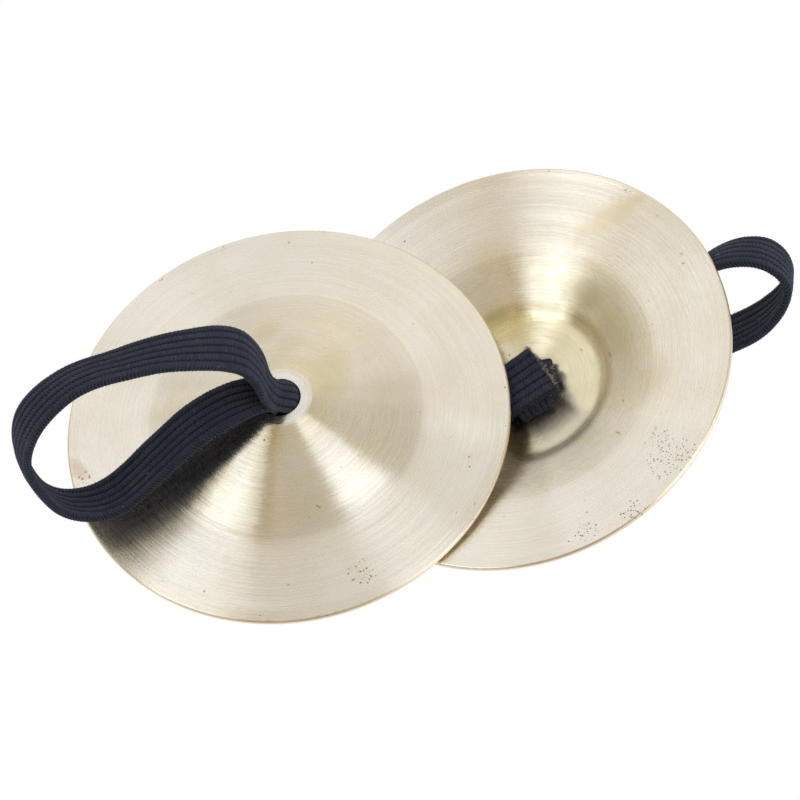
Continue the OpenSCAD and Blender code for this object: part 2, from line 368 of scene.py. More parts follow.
class TurnedBrass(Net):
    """Satin lathe-turned brass of one cymbal: the tooling rings with their partly painted
    reflection, their stretched shine, tarnish and patches of painted shade, pits and a worn rim all
    follow the cymbal's own axis, so they move with it."""

    def __init__(self, side, seed):
        self.side, self.seed = side, seed
        self.material = bpy.data.materials.new(side + "_turned_brass")
        super().__init__(self.material)
        bsdf = self.principled()
        self.find_place()
        self.make_textures()
        normal = self.ringed_normal()
        colour = self.base_colour()
        shade = self.ring_shade()
        colour = self.tarnish_and_painted_shade(colour)
        colour = self.pitted(colour)
        colour = self.scratched(colour)
        colour = self.nicked(self.vector("SCALE", colour, scale=shade))
        colour = self.edged(colour)
        self.fill(bsdf, {
            "Base Color": self.vector("MULTIPLY", colour, BALANCE),
            "Roughness": self.roughness(),
            "Metallic": 1.0,
            "Anisotropic": self.ramp(self.radius, (1.0, 6.0), out=(0.45, 0.95)),
            "Tangent": self.to_world(self.meridian, "VECTOR"),
            "Normal": self.to_world(normal, "NORMAL"),
        })

    def to_world(self, vector, kind):
        return self.vector("NORMALIZE", self.turned(vector, kind, "OBJECT", "WORLD"))

    def find_place(self):
        """Where a point is on the cymbal, which way it faces, and the directions there."""
        centre, axes = FRAMES[self.side]
        self.place = self.object_mm(origin=centre)
        height = self.vector("DOT_PRODUCT", self.place, axes[:, 2])
        self.x = self.vector("DOT_PRODUCT", self.place, axes[:, 0])
        self.y = self.vector("DOT_PRODUCT", self.place, axes[:, 1])
        axis = self.xyz(*[float(value) for value in axes[:, 2]])
        from_axis = self.vector("SUBTRACT", self.place, self.vector("SCALE", axis, scale=height))
        self.radius = self.vector("LENGTH", from_axis)
        radial = self.vector("NORMALIZE", from_axis)
        self.tangent = self.vector("CROSS_PRODUCT", axis, radial)
        geometry = self.node("ShaderNodeNewGeometry")
        facing = self.turned(geometry.outputs["Normal"], "NORMAL", "WORLD", "OBJECT")
        facing_out = self.vector("DOT_PRODUCT", facing, radial)
        facing_up = self.vector("DOT_PRODUCT", facing, axis)
        self.normal = self.vector("NORMALIZE", self.vector(
            "ADD", self.vector("SCALE", radial, scale=facing_out),
            self.vector("SCALE", axis, scale=facing_up)))
        self.meridian = self.vector(
            "NORMALIZE", self.vector("CROSS_PRODUCT", self.tangent, self.normal))
        self.outside = self.ramp(facing_up, (-0.05, 0.05))
        self.inside = self.math("SUBTRACT", 1.0, self.outside)
        self.marked_face = self.inside if self.side == "right" else self.outside
        safe_radius = self.most(self.radius, 0.4)
        self.cos = self.math("DIVIDE", self.x, safe_radius)
        self.sin = self.math("DIVIDE", self.y, safe_radius)
        self.shift = self.add(self.mul(self.outside, FACE_SHIFT), float(self.seed) * CYMBAL_SHIFT)

    def rings(self, per_mm, around, detail=1.0, offset=0.0):
        """Noise in rings: per_mm is how fine they are, around how soon they change."""
        across = self.add(self.mul(self.radius, per_mm), self.shift, offset)
        place = self.xyz(across, self.mul(self.cos, around), self.mul(self.sin, around))
        return self.noise(place, detail=detail)

    def make_textures(self):
        self.coarse = self.rings(per_mm=0.85, around=0.7, detail=2.0)
        self.mid = self.rings(per_mm=3.4, around=0.9, detail=1.5, offset=5.0)
        self.fine = self.rings(per_mm=10.0, around=2.4, offset=9.0)
        self.hair = self.rings(per_mm=17.0, around=7.0, offset=3.0)
        self.blot = self.noise(self.place, scale=0.16, detail=3.0, rough=0.55, distort=0.4)
        self.patch = self.noise(self.place, offset=(31.0, 7.0, 3.0), scale=0.42, detail=3.0,
                                rough=0.6, distort=0.6)
        self.speck = self.noise(self.place, scale=2.6, rough=0.7)

    def ringed_normal(self):
        """Rings tilt the surface along the meridian. Each also leans a little along itself,
        which feathers the edges of the reflections."""
        tilt = self.add(*self.swings((self.coarse, 0.050), (self.mid, 0.085), (self.fine, 0.11)))
        waver = self.noise(self.place, offset=(3.0, 3.0, 9.0), scale=0.22)
        lean = self.rings(per_mm=4.2, around=1.2, offset=17.0)
        wobble = self.add(*self.swings((waver, 0.030), (lean, 0.045), (self.fine, 0.012)))
        tilted = self.vector("ADD", self.normal, self.vector("SCALE", self.meridian, scale=tilt))
        return self.vector("NORMALIZE", self.vector(
            "ADD", tilted, self.vector("SCALE", self.tangent, scale=wobble)))

    def band(self, face, *spans):
        """A ring-shaped mask on one face, a ramp over the radius for each span in mm."""
        return self.mul(face, *[self.ramp(self.radius, span) for span in spans])

    def base_colour(self):
        colour = self.tint(PALE, WARM, mask=self.ramp(self.blot, (0.38, 0.72), out=(0.0, 0.16)))
        cone = self.mul(self.band(self.outside, (3.9, 6.0), (19.5, 13.0)),
                        self.ramp(self.patch, (0.34, 0.66)))
        colour = self.tint(colour, WARM, mask=cone, strength=0.22)
        near_hole = self.band(self.outside, (10.0, 5.0), (3.9, 4.5))
        colour = self.tint(colour, WARM, mask=near_hole, strength=0.62)
        self.bell = self.band(self.inside, (13.5, 9.5))
        colour = self.tint(colour, BELL, mask=self.bell, strength=0.85)
        wall = self.band(self.inside, (20.5, 17.5), (10.0, 12.5))
        patches = self.ramp(self.patch, (0.40, 0.66), out=(0.05, 0.45))
        return self.tint(colour, WARM, mask=self.mul(wall, patches))

    def ring_shade(self):
        """How light or dark the rings are painted: partly the tooling's own marks and partly
        painted reflection standing in for the light their changing slope catches, with painted
        shade inside the crease.
        """
        streak = self.add(*self.swings((self.coarse, 0.05), (self.mid, 0.13), (self.fine, 0.10),
                                       (self.hair, 0.03)))
        # short arcs that stand out light or dark: tool chatter, its brightness partly painted
        # reflection
        arcs = self.rings(per_mm=7.0, around=1.3, offset=23.0)
        streak = self.add(streak, self.ramp(arcs, (0.64, 0.76), out=(0.0, 0.045)),
                          self.ramp(arcs, (0.36, 0.24), out=(0.0, -0.055)))
        # inside the crease the cone and the hollow are painted a shade darker than the flange,
        # painted shade for the change of slope there, with a painted dark line in the crease
        painted_crease_shade = self.ramp(self.radius, (18.72, 18.42))
        darker_outside, darker_inside, crease_line_shade = -0.075, -0.058, -0.035
        darker = self.add(self.mul(self.outside, darker_outside),
                          self.mul(self.inside, darker_inside))
        streak = self.add(streak, self.mul(painted_crease_shade, darker))
        line = self.mul(self.ramp(self.radius, (18.42, 18.56)),
                        self.ramp(self.radius, (18.74, 18.60)), self.outside, crease_line_shade)
        return self.add(1.0, self.add(streak, line))

    def tarnish_and_painted_shade(self, colour):
        """Soft-edged patches of tarnish in the cymbal's own plane, with two patches of painted
        shade on the right cymbal's inner wall.
        """
        masks = []
        for spot_x, spot_y, radius, stretch, angle, strength, tone in TARNISH_AND_SHADE_SPOTS[self.side]:
            cos, sin = math.cos(angle), math.sin(angle)
            dx = self.math("SUBTRACT", self.x, spot_x)
            dy = self.math("SUBTRACT", self.y, spot_y)
            along = self.math("DIVIDE", self.add(self.mul(dx, cos), self.mul(dy, sin)), stretch)
            across = self.add(self.mul(dx, -sin), self.mul(dy, cos))
            ragged = self.swings((self.patch, radius * 1.1), (self.speck, radius * 0.25))
            distance = self.add(self.hypot(along, across), *ragged)
            mask = self.mul(self.ramp(distance, (radius, radius * 0.25)), strength)
            colour = self.tint(colour, tone, mask=mask)
            masks.append(mask)
        self.dull = self.add(*masks)
        return colour

    def pit_cluster(self, x, y, radius):
        distance = self.math("SQRT", self.add(
            self.math("POWER", self.math("SUBTRACT", self.x, x), 2.0),
            self.math("POWER", self.math("SUBTRACT", self.y, y), 2.0)))
        return self.ramp(distance, (radius, radius * 0.2))

    def pitted(self, colour):
        """Brown pinholes, thick in a few places and thin everywhere."""
        shift_x, shift_y, level = 5.0 + self.seed, 2.0, 0.5
        flat_place = self.xyz(self.add(self.x, shift_x), self.add(self.y, shift_y), level)
        warp = self.vector("SCALE", self.xyz(self.speck, self.patch, 0.0), scale=0.5)
        cells = self.node("ShaderNodeTexVoronoi", feature="F1", voronoi_dimensions="2D")
        self.fill(cells, {"Vector": self.vector("ADD", flat_place, warp), "Scale": 2.0,
                          "Randomness": 1.0})
        # three random numbers for each cell
        for_size, for_stray, for_cluster = self.parts(cells.outputs["Color"])
        size = self.ramp(for_size, (0.15, 1.0), out=(0.14, 0.38), smooth=False)
        stray_strength, rim_density, rim_share, core = 0.9, 0.62, 0.7, 0.45
        stray = self.mul(self.ramp(for_stray, (0.9965, 0.9975)), stray_strength)
        clusters = self.most(*[self.pit_cluster(*cluster) for cluster in PITS[self.side]])
        near_rim = self.mul(self.ramp(self.radius, (27.4, 29.4)),
                            self.ramp(self.patch, (0.58, 0.66)), rim_density)
        density = self.most(clusters, self.mul(near_rim, rim_share))
        # a cell is pitted where the density passes its own threshold
        spread, least = 0.9, 0.08
        threshold = self.add(self.mul(for_cluster, spread), least)
        pitted = self.math("GREATER_THAN", density, threshold)
        hole = self.ramp(cells.outputs["Distance"], (size, self.mul(size, core)))
        self.pits = self.mul(hole, self.most(pitted, stray))
        return self.tint(colour, PIT, mask=self.pits, strength=0.80)

    def line_mask(self, line, ragged, core):
        """A thin straight mark. ragged and core are its unevenness and the half width of its
        solid middle, as shares of its half width."""
        x0, y0, x1, y1, half = line
        run_x, run_y = x1 - x0, y1 - y0
        dx = self.math("SUBTRACT", self.x, x0)
        dy = self.math("SUBTRACT", self.y, y0)
        along = self.math("DIVIDE", self.add(self.mul(dx, run_x), self.mul(dy, run_y)),
                          run_x * run_x + run_y * run_y, clamp=True)
        off_x = self.math("SUBTRACT", dx, self.mul(along, run_x))
        off_y = self.math("SUBTRACT", dy, self.mul(along, run_y))
        distance = self.add(self.hypot(off_x, off_y), *self.swings((self.speck, half * ragged)))
        return self.ramp(distance, (half, half * core))

    def scratched(self, colour):
        # the scratches' near-white colour is a painted highlight
        marks = [self.mul(self.line_mask(line, ragged=0.8, core=0.35), SCRATCH_STRENGTH)
                 for line in SCRATCHES[self.side]]
        return self.tint(colour, SCRATCH, mask=self.mul(self.most(*marks), self.marked_face))

    def nicked(self, colour):
        for line in NICKS[self.side]:
            mark = self.line_mask(line, ragged=0.9, core=0.3)
            mask = self.mul(mark, NICK_STRENGTH, self.marked_face)
            colour = self.tint(colour, NICK, mask=mask)
        return colour

    def edged(self, colour):
        """The tones that follow the cymbal's edges."""
        # the flat round the hole is paler, with a painted highlight along its edge
        flat = self.band(self.outside, (4.45, 4.15))
        colour = self.tint(colour, FLAT, mask=flat, strength=0.40)
        lip = self.band(self.outside, (4.05, 4.22), (4.50, 4.34))
        colour = self.tint(colour, LIP_HIGHLIGHT, mask=lip, strength=0.40)
        # the rim is worn to a duller gold, and a brown ring of painted shade lies at the step in
        # the hollow
        uneven = self.add(self.radius, *self.swings((self.patch, 0.18)))
        self.rim = self.ramp(uneven, (29.72, 29.90))
        colour = self.tint(colour, GOLD, mask=self.rim, strength=0.75)
        step_shade = self.band(self.inside, (12.6, 12.1), (11.0, 11.5))
        colour = self.tint(colour, STEP_SHADE, mask=step_shade, strength=0.35)
        hole_wall = self.ramp(self.radius, (2.95, 2.72))
        return self.tint(colour, GOLD, mask=hole_wall, strength=0.6)

    def roughness(self):
        plain = 0.268
        bell_polish, for_dull, for_pits, for_rim = 0.03, 0.06, 0.3, -0.02
        rough = self.add(plain, *self.swings((self.fine, 0.12), (self.hair, 0.08),
                                             (self.blot, 0.08)))
        rough = self.math("SUBTRACT", rough, self.mul(self.bell, bell_polish))
        return self.add(rough, self.mul(self.dull, for_dull), self.mul(self.pits, for_pits),
                        self.mul(self.rim, for_rim))


# ---------------------------------------------------------------- fabric and rubber

# painted shade in the open stitches and drawn-in lines of the braid
BRAID_GAP_SHADE = (0.0026, 0.0030, 0.0056)
BRAID_DARK = (0.0155, 0.0190, 0.0370)
BRAID_LIT = (0.0300, 0.0370, 0.0680)
BRAID_PALE = (0.0860, 0.1000, 0.1450)
BRAID_WORN = (0.0490, 0.0500, 0.0640)
BRAID_LINT = (0.24, 0.24, 0.25)


def braid_material():
    """Reads the ribbon's attributes: band is (stitch phase, mm across, place in the rib) and
    weave is (drawn in, rib number, mm along)."""
    material = bpy.data.materials.new("braided_elastic")
    net = Net(material)
    bsdf = net.principled()
    band, weave = [net.parts(net.node("ShaderNodeAttribute", attribute_name=name).outputs["Vector"])
                   for name in ("band", "weave")]
    phase, across, in_rib = band
    drawn, rib, along = weave
    place = net.object_mm()
    beat = net.math("COSINE", net.mul(phase, 2 * math.pi))
    # stitches differ: some sit open, some are pulled tight, a few catch the light
    each = net.noise(net.stretch((phase, 0.9), (rib, 7.3), 0.0), detail=1.0)
    patch = net.noise(net.stretch((along, 0.45), (across, 0.8), 0.0), detail=3.0, rough=0.6)
    gap = net.mul(net.ramp(in_rib, (0.52, 0.92)), net.ramp(beat, (0.45, -0.55)),
                  net.ramp(each, (0.25, 0.55), out=(0.45, 1.0)))
    line = net.mul(net.ramp(in_rib, (0.80, 0.99)), drawn,
                   net.ramp(patch, (0.3, 0.6), out=(0.75, 1.0)))
    crown = net.mul(net.ramp(beat, (-0.15, 0.85)), net.ramp(in_rib, (1.0, 0.35)),
                    net.ramp(each, (0.38, 0.72)))
    # filaments run aslant each half rib, so the noise is stretched that way
    yarn = net.noise(net.stretch((phase, 3.1), (in_rib, 1.1), (rib, 5.0)), rough=0.65)
    wear = net.noise(place, scale=0.22, detail=3.0, rough=0.6)
    lint = net.noise(place, scale=5.5, detail=3.0, rough=0.75)
    colour = net.tint(BRAID_DARK, BRAID_LIT, mask=net.ramp(yarn, (0.30, 0.72)))
    # painted highlight: the crowns of the stitches are painted paler
    colour = net.tint(colour, BRAID_PALE, mask=crown, strength=0.30)
    worn = net.mul(net.ramp(wear, (0.42, 0.70)), net.ramp(in_rib, (0.95, 0.5)))
    colour = net.tint(colour, BRAID_WORN, mask=worn, strength=0.40)
    # pale dashes along the middles of the ribs
    pale_dashes = net.noise(net.stretch((along, 0.9), (across, 9.0), 2.0), rough=0.6)
    pale_dashes = net.mul(net.ramp(pale_dashes, (0.62, 0.74)), net.ramp(in_rib, (0.9, 0.5)))
    colour = net.tint(colour, BRAID_PALE, mask=pale_dashes, strength=0.45)
    # the open stitches and the drawn-in lines between ribs get painted shade, near black
    gap_shade, line_shade = 0.90, 0.88
    sunk_shade = net.most(net.mul(gap, gap_shade), net.mul(line, line_shade))
    colour = net.tint(colour, BRAID_GAP_SHADE, mask=sunk_shade)
    colour = net.tint(colour, BRAID_LINT, mask=net.ramp(lint, (0.72, 0.80)), strength=0.25)
    grain = net.noise(place, scale=14.0, rough=0.6)
    relief = ((yarn, 0.8), (grain, 0.6), (crown, 0.5), (gap, -0.8), (line, -0.8))
    height = net.add(*[net.mul(part, amount) for part, amount in relief])
    net.fill(bsdf, {
        "Base Color": colour,
        "Roughness": net.ramp(yarn, (0.3, 0.7), out=(0.74, 0.94)),
        "Specular IOR Level": 0.22,
        "Sheen Weight": 0.10,
        "Sheen Roughness": 0.45,
        "Sheen Tint": (0.55, 0.58, 0.75),
        "Normal": net.bump(height, strength=0.7, distance=0.00008),
    })
    return material


def fibre_material(name, tone, other, sheen):
    material = bpy.data.materials.new(name)
    net = Net(material)
    bsdf = net.principled()
    blend = net.noise(net.object_mm(), scale=1.7, rough=0.6)
    net.fill(bsdf, {
        "Base Color": net.tint(tone, other, mask=net.ramp(blend, (0.35, 0.65))),
        "Roughness": net.ramp(blend, (0.3, 0.7), out=(0.55, 0.85)),
        "Specular IOR Level": 0.25,
        "Sheen Weight": sheen,
    })
    return material


def rubber_material():
    material = bpy.data.materials.new("latex_thread")
    net = Net(material)
    bsdf = net.principled()
    place = net.object_mm()
    blend = net.noise(place, scale=2.2, detail=3.0, rough=0.6)
    dust = net.noise(place, scale=9.0, rough=0.7)
    dark, light, dusty = (0.62, 0.42, 0.32), (0.80, 0.64, 0.54), (0.16, 0.12, 0.11)
    colour = net.tint(dark, light, mask=net.ramp(blend, (0.35, 0.65)))
    colour = net.tint(colour, dusty, mask=net.ramp(dust, (0.56, 0.70)), strength=0.5)
    net.fill(bsdf, {
        "Base Color": colour,
        "Roughness": net.ramp(dust, (0.3, 0.7), out=(0.5, 0.75)),
        "Subsurface Weight": 0.15,
        "Subsurface Scale": 0.0003,
        "Normal": net.bump(dust, strength=0.5, distance=0.00004),
    })
    return material


BRAID = braid_material()
FUZZ = fibre_material("braid_fuzz", (0.020, 0.022, 0.034), (0.055, 0.058, 0.075), sheen=0.2)
LINT = fibre_material("pale_lint", (0.42, 0.42, 0.42), (0.60, 0.57, 0.52), sheen=0.4)
RUBBER = rubber_material()


# ---------------------------------------------------------------- meshes

def make_object(name, side, packs, material, attributes=None):
    """One smooth object from (verts in mm, faces) packs."""
    verts, faces, offset = [], [], 0
    for pack_verts, pack_faces in packs:
        verts.append(pack_verts)
        faces += [[int(i) + offset for i in face] for face in pack_faces]
        offset += len(pack_verts)
    mesh = bpy.data.meshes.new(name)
    mesh.from_pydata(world(side, np.vstack(verts)).tolist(), [], faces)
    mesh.polygons.foreach_set("use_smooth", [True] * len(mesh.polygons))
    for key, data in (attributes or {}).items():
        attribute = mesh.attributes.new(key, "FLOAT_VECTOR", "POINT")
        attribute.data.foreach_set("vector", np.asarray(data, np.float32).ravel())
    mesh.materials.append(material)
    mesh.update()
    obj = bpy.data.objects.new(name, mesh)
    bpy.context.scene.collection.objects.link(obj)
    return obj


def braid_object(name, side, ribbons):
    packs = [(band.verts.reshape(-1, 3), band.faces) for band in ribbons]
    return make_object(name, side, packs, BRAID, {
        "weave": np.vstack([band.weave.reshape(-1, 3) for band in ribbons]),
        "band": np.vstack([band.band.reshape(-1, 3) for band in ribbons])})


# columns across the band: place in the rib (-1..1), rib number, place across (-1..1)
RIB_PLACES = np.array([-1.0, -0.80, -0.45, 0.0, 0.45, 0.80])
IN_RIB = np.r_[np.tile(RIB_PLACES, RIBS), 1.0]
RIB = np.r_[np.repeat(np.arange(RIBS), len(RIB_PLACES)), RIBS - 1]
ACROSS = -1 + (2 * RIB + 1 + IN_RIB) / RIBS
FROM_MIDDLE = np.abs(IN_RIB)
DOME = np.sqrt(np.clip(1 - IN_RIB * IN_RIB, 0, 1))
OUTER = ((RIB == 0) & (IN_RIB < 0)) | ((RIB == RIBS - 1) & (IN_RIB > 0))
PROFILE = np.where(OUTER, DOME ** 0.8, 0.90 + 0.10 * (1 - FROM_MIDDLE ** 3))
# every other row between ribs is drawn in to a line, the rest are rows of open stitches
ROW = np.where(IN_RIB < 0, RIB - 1, RIB)
DRAWN = np.where(OUTER, 0.0, np.where(ROW % 2 == 1, 1.0, 0.0))
# how much each column sinks at a stitch
GIVE = np.interp(FROM_MIDDLE, [0, 0.45, 0.80, 1.0], [0.02, 0.16, 0.95, 1.0])
GIVE = GIVE * np.where(OUTER, 0.35, 1.0)


def rib_waves(s, seed, count, waves):
    return np.stack([wavy(s, seed + i, waves) for i in range(count)], 1)


def around(top, bottom):
    """One closed ring of columns from the two faces' columns, which share their ends."""
    return np.concatenate([top, bottom[..., ::-1][..., 1:-1]], -1)


def ribbon_faces(rows, columns):
    index = np.arange(rows * columns).reshape(rows, columns)
    near, far = index[:-1], index[1:]
    quads = np.stack([far, np.roll(far, -1, 1), np.roll(near, -1, 1), near], -1)
    faces = quads.reshape(-1, 4).tolist()
    for row, step in ((index[0], 1), (index[-1], -1)):
        for j in range(columns // 2):
            corners = [row[j], row[j + 1], row[columns - j - 1], row[(columns - j) % columns]]
            faces.append(list(dict.fromkeys(int(i) for i in corners))[::step])
    return faces


def ribbon(path, wide, width, thick, curl, seed, relief=1.0, start=0.0):
    """One length of braided elastic. Its lengthwise ribs are plaits of V stitches, and the
    rows between them sink at each stitch. curl bends the band's section round its length."""
    along = unit(soften(unit(np.gradient(path, axis=0)), 2))
    wide = square_to(along, wide)
    out = np.cross(along, wide)
    s = start + lengths_along(path)
    base_seed = seed * 50
    rib_size = 1 + 0.05 * rib_waves(s, base_seed, RIBS, (5.0, 11.0, 23.0))
    drift = 0.7 * wavy(s, base_seed + 9, (7.0, 17.0, 31.0))
    bite = 1 + 0.45 * rib_waves(s, base_seed + 20, RIBS, (0.9, 1.7, 4.1))
    jag = rib_waves(s, base_seed + 40, 2, (0.55, 0.9, 1.6, 2.9))
    layers = []
    for face, sign in ((0, 1.0), (1, -1.0)):
        phase = (s[:, None] / STITCH - STITCH_SLANT * FROM_MIDDLE + drift[:, None]
                 + 0.5 * face + 0.5 * (RIB % 2))
        beat = np.cos(2 * np.pi * phase)
        gap = 0.5 - 0.5 * beat
        sink = relief * STITCH_SINK * GIVE * gap * bite[:, RIB] * (1 - 0.3 * DRAWN)
        line = relief * LINE_SINK * DRAWN * np.clip((FROM_MIDDLE - 0.85) / 0.15, 0, 1)
        plait = relief * PLAIT_RISE * beat * (1 - FROM_MIDDLE ** 4)
        height = (thick[:, None] / 2 * PROFILE * np.where(OUTER, 1, rib_size[:, RIB])
                  + (plait - sink - line) * np.where(OUTER, DOME, 1.0))
        rough = np.where(ACROSS < 0, jag[:, :1], jag[:, 1:]) * EDGE_JAG + beat * EDGE_PLAIT
        x = (ACROSS * width[:, None] / 2
             + np.where(OUTER, 1, 0) * np.sign(ACROSS) * (1 - DOME) * relief * rough)
        layers.append((x, sign * height, phase))
    (top_x, top_z, top_phase), (low_x, low_z, low_phase) = layers
    top_x[:, [0, -1]] = (top_x[:, [0, -1]] + low_x[:, [0, -1]]) / 2
    x, z, phase = around(top_x, low_x), around(top_z, low_z), around(top_phase, low_phase)

    bend = curl[:, None]
    bend = np.where(np.abs(bend) < 1e-4, 1e-4, bend)
    angle = bend * x
    cos, sin = np.cos(angle), np.sin(angle)
    verts = (path[:, None, :] + (sin / bend + sin * z)[..., None] * wide[:, None, :]
             + (-(1 - cos) / bend + cos * z)[..., None] * out[:, None, :])

    def every_row(columns):
        return np.broadcast_to(around(columns, columns), phase.shape)

    band = np.stack([phase, every_row(ACROSS) * width[:, None] / 2, every_row(FROM_MIDDLE)], -1)
    weave = np.stack([every_row(DRAWN), every_row(RIB.astype(float)),
                      np.broadcast_to(s[:, None], phase.shape)], -1)
    return SimpleNamespace(verts=verts, faces=ribbon_faces(*phase.shape), band=band,
                           weave=weave, along=along, wide=wide, out=out, path=path)


def fibres(root, direction, length, radius, bend, seed, rings=4, sides=3):
    """Closed, tapering hairs as (verts, faces), in mm."""
    rng = np.random.default_rng(seed)
    count = len(root)
    ahead = unit(direction)
    side = unit(np.cross(ahead, rng.normal(size=(count, 3))))
    other = np.cross(ahead, side)
    t = np.linspace(0, 1, rings)
    middle = (root[:, None, :] + ahead[:, None, :] * (t[None, :, None] * length[:, None, None])
              + side[:, None, :] * (bend * (t ** 2))[None, :, None] * length[:, None, None])
    radii = radius[:, None] * (1 - 0.6 * t[None, :])
    angle = 2 * np.pi * np.arange(sides) / sides
    spokes = (np.cos(angle)[None, None, :, None] * side[:, None, None, :]
              + np.sin(angle)[None, None, :, None] * other[:, None, None, :])
    verts = (middle[:, :, None, :] + radii[:, :, None, None] * spokes).reshape(-1, 3)
    per = rings * sides
    index = np.arange(per).reshape(rings, sides)
    after = np.roll(index, -1, 1)
    quads = np.stack([index[:-1], after[:-1], after[1:], index[1:]], -1).reshape(-1, 4)
    caps = np.array([index[0][::-1], index[-1]])
    base = (np.arange(count) * per)[:, None, None]
    faces = (quads[None] + base).reshape(-1, 4).tolist()
    return verts, faces + (caps[None] + base).reshape(-1, sides).tolist()


def surface_fuzz(band, count, seed, long=(0.12, 0.55), thick=(0.010, 0.018), lie=0.9,
                 edge=0.35, bare=0):
    """Hairs standing off a ribbon. edge is the share moved to its two edges, lie how far they
    lean along it, and bare the rows left out at each end."""
    rng = np.random.default_rng(seed)
    rows, columns = band.verts.shape[:2]
    half = columns // 2
    i = rng.integers(1, rows - 2 * bare - 1, count) + bare
    j = rng.integers(0, columns, count)
    at_edge = rng.uniform(size=count) < edge
    edge_column = np.where(rng.uniform(size=count) < 0.5, rng.integers(0, 4, count),
                           rng.integers(half - 3, half + 3, count))
    j = np.where(at_edge, edge_column, j) % columns
    point = band.verts[i, j]
    out = band.out[i]
    offset = point - band.path[i]
    by_edge = (j < 4) | (abs(j - half) < 4) | (j > columns - 4)
    face_out = np.sign((offset * out).sum(1, keepdims=True)) * out
    normal = unit(np.where(by_edge[:, None], unit(offset), face_out))
    direction = (normal * rng.uniform(0.25, 1.0, (count, 1))
                 + band.along[i] * rng.normal(0, lie, (count, 1))
                 + band.wide[i] * rng.normal(0, 0.5, (count, 1)))
    length = rng.uniform(*long, count) * rng.uniform(0.4, 1, count)
    return fibres(point - normal * 0.03, direction, length, rng.uniform(*thick, count),
                  rng.uniform(-0.5, 0.5), seed + 1)


# ---------------------------------------------------------------- finger loops

# guide: the band's middle line as x, y, z in mm and its roll about its length in degrees
# wide_near, wide_far: the band's width direction near the hole and far from it
# mouth, bend: the direction the loop folds about the mouth, and where the fold starts and ends
LOOPS = {
    "left": dict(
        guide=[(-LEG_X, 0, 6.1, 0), (-LEG_X, 0, 7.4, 0), (-2.0, 0.0, 8.7, 0),
               (-0.25, 0.25, 10.55, 1), (0.88, 0.44, 13.37, 1), (3.44, -1.56, 19.25, 5),
               (9.71, -0.74, 23.16, 12.8), (18.29, 1.18, 25.38, 17.3),
               (26.01, 3.24, 25.94, 15.3), (32.11, 6.42, 22.75, 6.5),
               (34.19, 8.43, 16.61, 4.6), (32.31, 9.83, 8.82, -7.1),
               (28.78, 9.88, 4.73, -10.9), (23.36, 8.81, 3.93, -4),
               (17.19, 6.0, 7.11, -1.3), (11.77, 3.6, 10.02, -3.2),
               (6.44, 1.79, 11.19, -9.5), (3.22, 0.92, 10.71, -7.6),
               (2.05, 0.3, 9.5, -3), (LEG_X, 0, 8.2, 0), (LEG_X, 0, 6.1, 0)],
        wide_near=(0, 1, 0), wide_far=(-0.3, 0.93, 0.21), curl=1.0,
        mouth=(1, 0, 1), bend=(10.7, 14.6)),
    "right": dict(
        guide=[(-LEG_X, 0, 6.1, 0), (-LEG_X, 0, 7.6, 0), (-2.15, 0.05, 8.6, 0),
               (-3.1, 0.2, 9.25, 0), (-6, 0.8, 9.2, 0), (-12, 2.6, 7.8, 0),
               (-18, 5.3, 5.68, -7), (-24.04, 8.47, 4.18, -10.3),
               (-28.34, 10.18, 3.18, -12.5), (-32.17, 10.06, 2.65, -10.2),
               (-35.7, 8.92, 3.52, -7.9), (-37.48, 7.05, 6.13, -8.6),
               (-36.29, 5.5, 9.24, -1.1), (-32.58, 4.64, 12.15, -5),
               (-27.78, 4.53, 14.05, -5.4), (-21.7, 4.21, 14.55, -4.2),
               (-13.66, 2.74, 12.95, -2.5), (-7, 1, 11.3, 0),
               (-2.6, 0.3, 10.95, 0), (0.4, 0.05, 10.62, 0), (1.75, 0, 9.5, 0),
               (LEG_X, 0, 8.2, 0), (LEG_X, 0, 6.1, 0)],
        wide_near=(0, -1, 0), wide_far=(0.153, -0.888, -0.435), curl=-1.0,
        mouth=(-1, 0, 1), bend=(9.3, 13.6)),
}


def finger_loop(side, seed):
    loop = LOOPS[side]
    path, s = evenly(curve_through(loop["guide"], per=48))
    path, roll = soften(path[:, :3], 6), np.radians(soften(path[:, 3:], 40))
    from_axis = np.linalg.norm(path[:, :2], axis=1)
    near, far = np.array(loop["wide_near"], float), np.array(loop["wide_far"], float)
    wide = unit(near + (far - near) * ease((from_axis - 4) / 20)[:, None])
    in_hole = (path[:, 2] < MOUTH[2]) & (from_axis < 3.0)
    lift = np.linalg.norm(path - MOUTH, axis=1) * np.where(in_hole, 0, 1)
    # the band is squeezed and curled in the hole, and opens out above it
    opened = ease((lift - 0.8) / 8.5)
    width = LEG_WIDTH + (LOOP_WIDTH - LEG_WIDTH) * opened
    width = width * (1 + 0.012 * wavy(s, seed + 3, (6.0, 14.0)))
    thick = LEG_THICK + (LOOP_THICK - LEG_THICK) * opened
    curl = loop["curl"] * LEG_CURL * (1 - ease((lift - 0.3) / 8.0)) ** 1.3
    along = unit(np.gradient(path, axis=0))
    wide = square_to(along, wide)
    wide = wide * np.cos(roll) + np.cross(along, wide) * np.sin(roll)
    out = np.cross(along, wide)
    path = path + out * (0.10 * wavy(s, seed + 5, (9.0, 17.0, 26.0)) * opened)[:, None]
    # the open band cups a little across its width, by an amount that varies along it
    slack = 1 + wavy(s, seed + 7, (15.0, 33.0))
    curl = curl + loop["curl"] * LOOP_CUP * slack * opened
    return ribbon(path, wide, width, thick, curl, seed)


def bend_at_mouth(obj):
    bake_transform(obj)


